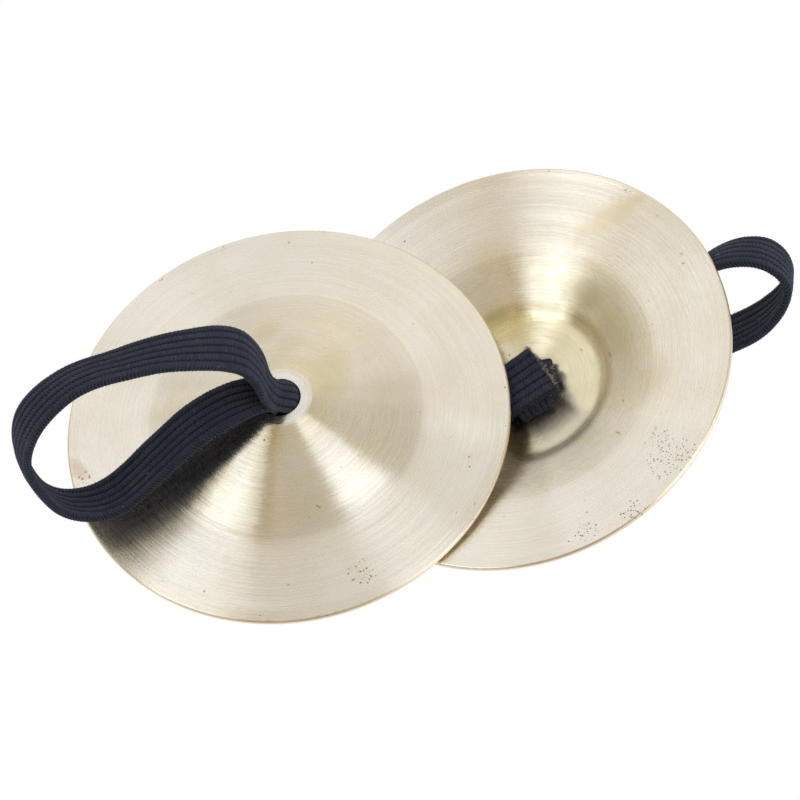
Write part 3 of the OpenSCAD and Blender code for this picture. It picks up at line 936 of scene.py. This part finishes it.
for side, seed in (("left", 3), ("right", 4)):
    band = finger_loop(side, seed)
    obj = braid_object(side + "_strap_braid", side, [band])
    bend_at_mouth(obj)
    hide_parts(side + "_finger_loop", side + "_strap_neck", side + "_loop_threads")
    fuzz = surface_fuzz(band, 4200, seed + 11, bare=BARE_ROWS)
    lint = surface_fuzz(band, 34, seed + 31, long=(0.25, 0.75), thick=(0.018, 0.034), lie=1.6,
                        edge=0.1, bare=BARE_ROWS)
    for name, hairs, material in (("_strap_fuzz", fuzz, FUZZ), ("_strap_lint", lint, LINT)):
        obj = make_object(side + name, side, [hairs], material)
        bend_at_mouth(obj)


# ---------------------------------------------------------------- knots and cut ends

# how each cut end leaves the knot: turn about z in degrees, height in mm, roll in degrees
END_A = (158, 3.5, 2)
END_B = (193, 4.95, 3)


def spun(degrees, points):
    """Points turned about z."""
    cos, sin = math.cos(math.radians(degrees)), math.sin(math.radians(degrees))
    return np.asarray(points, float) @ np.array([[cos, sin, 0], [-sin, cos, 0], [0, 0, 1]])


def rolled(degrees, points):
    """Points turned about x."""
    cos, sin = math.cos(math.radians(degrees)), math.sin(math.radians(degrees))
    return np.asarray(points, float) @ np.array([[1, 0, 0], [0, cos, sin], [0, -sin, cos]])


def at_end(end, points, base):
    turn, height, roll = end
    return spun(base, spun(turn, rolled(roll, points) + np.array([0, 0, height])))


def wrap(points, wide, width, thick, seed, base):
    """A turn of the knot: a band through the points, narrower and thinner at its ends."""
    path, _ = evenly(curve_through(points, per=32))
    path = soften(path, 4)
    u = np.linspace(0, 1, len(path))
    stations = np.linspace(0, 1, len(wide))
    wide = np.stack([np.interp(u, stations, part) for part in np.array(wide, float).T], 1)
    widths = np.interp(u, [0, 0.12, 0.5, 0.88, 1], [0.8, 1, 1.04, 1, 0.8]) * width
    thicks = thick * np.interp(u, [0, 0.08, 0.92, 1], [0.7, 1, 1, 0.7])
    return ribbon(spun(base, path), spun(base, unit(wide)), widths, thicks,
                  np.zeros(len(path)), seed, relief=0.9, start=seed * 1.3)


def ring_turn(radius, z, first, last, tilt, phase, width, thick, seed, base):
    """A turn round the legs from angle first to last, in degrees, tucked in at its ends."""
    points, wide = [], []
    for i in range(11):
        t = i / 10
        angle = math.radians(first + (last - first) * t)
        reach = radius * (1 - 0.28 * abs(2 * t - 1) ** 4)
        points.append((reach * math.cos(angle), reach * math.sin(angle),
                       z + tilt * math.sin(angle + phase)))
        wide.append((0.25 * math.cos(angle), 0.25 * math.sin(angle), 1.0))
    return wrap(points, wide, width, thick, seed, base)


# middle lines of the two turns that cross the knot, from +x to -x and from -y to +y
CROSSING_X = [(3.0, -1.9, 6.3), (3.9, -1.5, 5.9), (3.6, -1.2, 5.3), (1.2, -0.6, 5.05),
              (-1.6, 0.2, 5.1), (-3.3, 0.8, 5.35), (-3.7, 1.1, 5.9), (-2.9, 1.2, 6.3)]
CROSSING_Y = [(-1.2, -3.3, 6.3), (-1.0, -3.95, 5.7), (-0.7, -3.4, 5.0), (-0.3, -1.4, 4.55),
              (0.2, 1.2, 4.6), (0.5, 3.1, 5.1), (0.6, 3.75, 5.7), (0.4, 2.9, 6.3)]
CORE = [(0, 0, z) for z in (6.35, 5.9, 5.5, 5.0, 4.6)]


def knot_core(seed, base):
    """The core fills what shows between the turns."""
    path, _ = evenly(curve_through(CORE, per=32))
    count = len(path)
    u = np.linspace(0, 1, count)
    stations = [0, 0.15, 0.7, 1]
    width = np.interp(u, stations, [4.0, 6.2, 6.0, 3.4])
    thick = np.interp(u, stations, [3.6, 5.6, 5.4, 3.0])
    wide = np.tile([0.3, 1, 0], (count, 1))
    return ribbon(spun(base, path), spun(base, wide), width, thick, np.zeros(count), seed,
                  relief=0.8)


def knot(base, seed):
    """An overhand knot of the doubled band: two turns round the legs, two crossing turns and
    a core, in that order."""
    return [
        ring_turn(radius=3.55, z=5.75, first=-20, last=325, tilt=0.12, phase=0.4,
                  width=2.5, thick=1.45, seed=seed + 1, base=base),
        ring_turn(radius=3.25, z=4.95, first=120, last=470, tilt=0.30, phase=1.6,
                  width=1.9, thick=1.45, seed=seed + 2, base=base),
        wrap(CROSSING_X, [(0.25, 1, 0)] * 8, width=4.4, thick=1.2, seed=seed + 3, base=base),
        wrap(CROSSING_Y, [(-1, 0.2, 0)] * 8, width=5.0, thick=1.25, seed=seed + 4, base=base),
        knot_core(seed + 6, base),
    ]


def cut_end(end, first, last, width, thick, rise, bow, base, seed, shift=0.0, under=0.0):
    """A cut end of the band, running along its own x from first to last, where it is cut.
    rise lifts its start, bow and shift move it sideways, and under is how far its long edges
    fold round the knot."""
    x = np.linspace(first, last, int((last - first) / ROW_STEP))
    u = (x - first) / (last - first)
    path = np.stack([x, shift + bow * np.sin(u * 2.2),
                     rise * (1 - ease(u / 0.35)) + 0.07 * wavy(x, seed, (1.7, 2.6))], 1)
    widths = width * np.interp(u, [0, 0.35, 0.8, 1.0], [0.86, 0.97, 1.0, 1.03])
    thicks = thick * np.interp(u, [0, 0.5, 0.9, 1.0], [1.0, 1.0, 1.05, 1.12])
    curl = under * np.interp(u, [0, 0.4, 1.0], [1.0, 0.75, 0.35])
    count = len(x)
    wide = at_end(end, np.tile([0, 1.0, 0], (count, 1)), base)
    wide = wide - at_end(end, np.zeros((count, 3)), base)
    return ribbon(at_end(end, path, base), wide, widths, thicks, curl, seed, start=seed)


def at_cut(band, rng, column, depth, ahead, spread, back):
    """Roots and directions of fibres at a ribbon's last section. depth is where they sit
    between its faces, and back how far inside the band they start."""
    last = band.verts[-1]
    size = (len(column), 1)
    share = rng.uniform(*depth, size)
    root = last[column] * share + last[(len(last) - column) % len(last)] * (1 - share)
    along, wide, out = band.along[-1], band.wide[-1], band.out[-1]
    direction = (along[None] * rng.uniform(*ahead, size) + wide[None] * rng.normal(0, spread, size)
                 + out[None] * rng.normal(0, spread, size))
    return root - along * back, direction


# fibres at each cut thread: radius in mm, count, spread, shortest and longest, sides
THREAD_PARTS = [(0.15, 1, 0.10, (0.30, 0.55), 7), (0.055, 5, 0.36, (0.50, 0.95), 3),
                (0.028, 9, 0.55, (0.6, 1.25), 3)]


def cut_threads(band, seed, threads):
    """The rubber threads at a cut: uneven stubs, each with a few stray filaments."""
    rng = np.random.default_rng(seed)
    half = len(band.verts[-1]) // 2
    packs = []
    for radius, per, spread, reach, sides in THREAD_PARTS:
        count = threads * per
        spot = (np.arange(count) // per + 0.5) / threads * (half - 4) + 2
        column = np.round(spot + rng.normal(0, 0.9, count)).astype(int)
        root, direction = at_cut(band, rng, np.clip(column, 2, half - 2), depth=(0.32, 0.68),
                                 ahead=(0.7, 1.0), spread=spread, back=0.25)
        length = rng.uniform(*reach, count)
        radii = radius * rng.uniform(0.7, 1.15, count)
        packs.append(fibres(root, direction, length, radii, 0.25, seed + per, rings=6,
                            sides=sides))
    return packs


def frayed(band, seed, count, long, thick, spread):
    """Loose yarn ends all over a ribbon's last section."""
    rng = np.random.default_rng(seed)
    column = rng.integers(1, len(band.verts[-1]) // 2, count)
    root, direction = at_cut(band, rng, column, depth=(0, 1), ahead=(0.5, 1.0), spread=spread,
                             back=0.12)
    length = rng.uniform(*long, count) * rng.uniform(0.5, 1, count)
    return fibres(root, direction, length, rng.uniform(*thick, count), 0.35, seed + 5, rings=5)


def hoop(centre, first, second, radius, thread, sweep=300.0, rings=14, sides=5):
    """A small open loop of pulled thread, in the plane of the first and second directions."""
    first, second = unit(first), unit(second)
    normal = np.cross(first, second)
    verts, faces = [], []
    for i in range(rings):
        angle = math.radians(sweep * i / (rings - 1))
        cos, sin = math.cos(angle), math.sin(angle)
        middle = np.array(centre) + radius * (cos * first + 1.15 * sin * second)
        out = cos * first + sin * second
        for k in range(sides):
            turn = 2 * math.pi * k / sides
            verts.append(middle + thread * (math.cos(turn) * out + math.sin(turn) * normal))
    for i in range(rings - 1):
        near, far = i * sides, (i + 1) * sides
        for k in range(sides):
            after = (k + 1) % sides
            faces.append([near + k, far + k, far + after, near + after])
    faces.append(list(range(sides)))
    faces.append([(rings - 1) * sides + k for k in range(sides)][::-1])
    return np.array(verts), faces


def corner_hoop(band):
    """A thread loop at the first corner of a cut."""
    along, wide = band.along[-1], band.wide[-1]
    return hoop(band.verts[-1][0] - along * 0.15, -along, -wide, radius=0.27, thread=0.055)


def fit(obj, side, slot, *replaced):
    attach(obj, side + "_strap")
    if replaced:
        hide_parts(*replaced)


for side, base, seed in (("right", 0.0, 60), ("left", 70.0, 80)):
    turns = knot(base, seed)
    fit(braid_object(side + "_knot_turns", side, turns), side, "braid", side + "_knot")
    end_a = cut_end(END_A, first=-4.3, last=3.1, width=7.5, thick=1.26, rise=0.9, bow=0.10,
                    base=base, seed=seed + 11, shift=0.40, under=0.055)
    end_b = cut_end(END_B, first=-2.2, last=3.35, width=5.6, thick=1.30, rise=0.3, bow=-0.2,
                    base=base, seed=seed + 12, under=0.05)
    obj = braid_object(side + "_cut_ends", side, [end_a, end_b])
    fit(obj, side, "braid", side + "_strap_ends")

    yarn = [surface_fuzz(turn, 500, seed + 20 + i, long=(0.15, 0.6))
            for i, turn in enumerate(turns[:4])]
    yarn += [
        surface_fuzz(end_a, 1500, seed + 31, long=(0.15, 0.55), thick=(0.012, 0.024)),
        surface_fuzz(end_b, 500, seed + 32, long=(0.15, 0.6)),
        frayed(end_a, seed + 41, 520, long=(0.30, 0.80), thick=(0.020, 0.045), spread=0.45),
        frayed(end_b, seed + 42, 260, long=(0.25, 0.75), thick=(0.020, 0.045), spread=0.42),
        corner_hoop(end_a),
    ]
    fit(make_object(side + "_frayed_yarn", side, yarn, FUZZ), side, "braid")

    stubs = cut_threads(end_a, seed + 71, 7) + cut_threads(end_b, seed + 75, 6)
    obj = make_object(side + "_thread_stubs", side, stubs, RUBBER)
    fit(obj, side, "rubber", side + "_end_threads")

    fluff = [
        frayed(end_a, seed + 51, 70, long=(0.5, 1.1), thick=(0.010, 0.018), spread=0.7),
        frayed(end_b, seed + 52, 30, long=(0.4, 0.9), thick=(0.010, 0.018), spread=0.6),
        surface_fuzz(end_a, 14, seed + 53, long=(0.3, 0.7), thick=(0.014, 0.026), lie=1.6,
                     edge=0.1),
    ]
    fit(make_object(side + "_pale_fluff", side, fluff, LINT), side, "braid")


# ---------------------------------------------------------------- brass on the CAD cymbals

for side, seed in (("left", 1), ("right", 2)):
    material = TurnedBrass(side, seed).material
    for slot in frame["nodes"][side + "_cymbal"].material_slots:
        slot.material = material


# ---------------------------------------------------------------- floor, light and camera

MIDDLE = Vector((-0.000214, 0.00063, 0.006))   # what the lights and camera point at, in metres
FLOOR_HALF, FLOOR_Z = 3.0, -0.00003            # metres
BOX_DISTANCE = 4.0                             # metres from the middle to each soft box
CAMERA_DISTANCE = 2.5                          # metres
ROOM = (0.385, 0.311, 0.163)                   # the dim warm light of the room
# soft glows in the room: tightness, direction, colour
GLOWS = [
    (14, (-0.274, 0.753, 0.599), (0.545, 0.636, 0.817)),
    (40, (0.109, 0.944, 0.311), (0.659, 0.597, 0.485)),
    (5, (0.961, -0.272, 0.051), (1.040, 1.040, 1.040)),
    (5, (0.997, 0.074, 0.031), (0.404, 0.505, 0.662)),
    (40, (-0.201, 0.977, 0.069), (0.443, 0.398, 0.359)),
    (5, (0.881, -0.473, 0.019), (1.040, 1.040, 1.040)),
]
# soft boxes: half width and half height at one metre, turn in degrees, direction, colour
BOXES = [
    (0.28, 0.12, 45, (-0.687, -0.222, 0.692), (1.390, 1.540, 1.780)),
    (0.19, 0.28, 45, (0.310, -0.204, 0.929), (1.260, 1.400, 1.750)),
    (0.19, 0.28, 67.5, (-0.500, 0.385, 0.776), (0.318, 0.368, 0.514)),
    (0.28, 0.19, 67.5, (0.140, 0.633, 0.761), (0.380, 0.405, 0.469)),
    (0.28, 0.07, 67.5, (-0.532, -0.373, 0.760), (0.859, 0.884, 0.942)),
    (0.28, 0.12, 0, (-0.092, 0.363, 0.927), (0.477, 0.556, 0.709)),
    (0.07, 0.28, 22.5, (-0.728, 0.255, 0.636), (1.168, 1.251, 1.294)),
    (0.19, 0.28, 45, (-0.583, 0.758, 0.293), (0.303, 0.325, 0.378)),
    (0.12, 0.28, 45, (-0.259, 0.156, 0.953), (0.199, 0.225, 0.311)),
    (0.28, 0.07, 45, (-0.848, -0.342, 0.405), (0.848, 0.852, 0.776)),
    (0.07, 0.12, 67.5, (-0.705, 0.556, 0.440), (0.547, 0.551, 0.499)),
    (0.07, 0.07, 22.5, (-0.394, 0.337, 0.855), (0.752, 0.825, 0.932)),
    (0.28, 0.12, 45, (-0.114, -0.119, 0.986), (0.302, 0.343, 0.396)),
    (0.07, 0.19, 0, (-0.383, 0.648, 0.659), (0.160, 0.160, 0.142)),
    (0.28, 0.19, 0, (0.417, 0.768, 0.486), (0.213, 0.223, 0.231)),
    (0.07, 0.28, 0, (-0.303, -0.522, 0.797), (0.321, 0.244, 0.231)),
    (0.07, 0.07, 45, (-0.620, 0.055, 0.783), (0.589, 0.579, 0.650)),
    (0.28, 0.07, 0, (0.341, 0.535, 0.773), (0.153, 0.155, 0.159)),
    (0.19, 0.07, 67.5, (-0.607, -0.355, 0.711), (0.534, 0.650, 0.705)),
    (0.12, 0.07, 67.5, (-0.411, 0.024, 0.911), (0.241, 0.231, 0.184)),
]


def floor():
    """It lights the brass from below. The camera sees the backdrop in its place, so a loop
    swung down past it stays whole."""
    mesh = bpy.data.meshes.new("floor")
    corners = [(-1, -1), (1, -1), (1, 1), (-1, 1)]
    mesh.from_pydata([(x * FLOOR_HALF, y * FLOOR_HALF, FLOOR_Z) for x, y in corners], [],
                     [(0, 1, 2, 3)])
    material = bpy.data.materials.new("floor_white")
    net = Net(material)
    out = net.node("ShaderNodeOutputMaterial")
    both = net.node("ShaderNodeAddShader")
    diffuse = net.node("ShaderNodeBsdfDiffuse")
    net.fill(diffuse, {"Color": (0.26, 0.26, 0.26)})
    glow = net.node("ShaderNodeEmission")
    net.fill(glow, {"Color": (0.99, 1.0, 1.08), "Strength": 0.86})
    net.put(both.inputs[0], diffuse.outputs[0])
    net.put(both.inputs[1], glow.outputs[0])
    net.put(out.inputs[0], both.outputs[0])
    mesh.materials.append(material)
    obj = bpy.data.objects.new("floor", mesh)
    obj.visible_camera = False
    bpy.context.scene.collection.objects.link(obj)


def sky():
    """The room and its glows, with a plain pale backdrop in their place for the camera."""
    world_data = bpy.data.worlds.new("studio")
    bpy.context.scene.world = world_data
    net = Net(world_data)
    out = net.node("ShaderNodeOutputWorld")
    room = net.node("ShaderNodeBackground")
    coordinates = net.node("ShaderNodeTexCoord")
    ray = net.vector("NORMALIZE", coordinates.outputs["Generated"])
    level = net.xyz(*ROOM)
    for tight, where, tone in GLOWS:
        toward = net.vector("DOT_PRODUCT", ray, Vector(where).normalized())
        fall = net.mul(net.math("SUBTRACT", toward, 1.0), float(tight))
        glow = net.vector("SCALE", tone, scale=net.math("EXPONENT", fall))
        level = net.vector("ADD", level, glow)
    net.fill(room, {"Color": level, "Strength": 1.0})
    plain = net.node("ShaderNodeBackground")
    net.fill(plain, {"Color": (1.0, 1.0, 1.0), "Strength": 1.0})
    rays = net.node("ShaderNodeLightPath")
    both = net.node("ShaderNodeMixShader")
    parts = (rays.outputs["Is Camera Ray"], room.outputs[0], plain.outputs[0])
    for socket, value in zip(both.inputs, parts):
        net.put(socket, value)
    net.put(out.inputs[0], both.outputs[0])


def soft_box(name, half_width, half_height, degrees, where, tone):
    """A soft box whose colour is how it looks in a mirror, with the white floor near 1."""
    light = bpy.data.lights.new(name, "AREA")
    light.shape = "RECTANGLE"
    light.size = 2 * half_width * BOX_DISTANCE
    light.size_y = 2 * half_height * BOX_DISTANCE
    top = max(tone)
    light.color = [part / top for part in tone]
    light.energy = top * math.pi * light.size * light.size_y
    z = Vector(where).normalized()
    x = Vector((0, 1, 0)).cross(z).normalized()
    y = z.cross(x)
    cos, sin = math.cos(math.radians(degrees)), math.sin(math.radians(degrees))
    pose = Matrix((x * cos + y * sin, -x * sin + y * cos, z)).transposed().to_4x4()
    pose.translation = MIDDLE + z * BOX_DISTANCE
    obj = bpy.data.objects.new(name, light)
    obj.matrix_world = pose
    obj.visible_camera = False
    bpy.context.scene.collection.objects.link(obj)


def camera():
    """A long lens looking down at the cymbals, 30 degrees off the vertical."""
    data = bpy.data.cameras.new("camera")
    data.sensor_width = 36.0
    data.lens = 841.5
    data.clip_start, data.clip_end = 0.1, 20.0
    obj = bpy.data.objects.new("camera", data)
    bpy.context.scene.collection.objects.link(obj)
    toward = Vector((0, -0.5, math.sqrt(3) / 2))
    obj.location = MIDDLE + toward * CAMERA_DISTANCE
    obj.rotation_mode = "QUATERNION"
    obj.rotation_quaternion = (-toward).to_track_quat("-Z", "Y")
    bpy.context.scene.camera = obj


floor()
sky()
for i, box in enumerate(BOXES):
    soft_box("soft_box_%02d" % i, *box)

view = bpy.context.scene.view_settings
view.view_transform = "Standard"
view.look = "None"
view.exposure = 0.0
view.gamma = 1.0
camera()
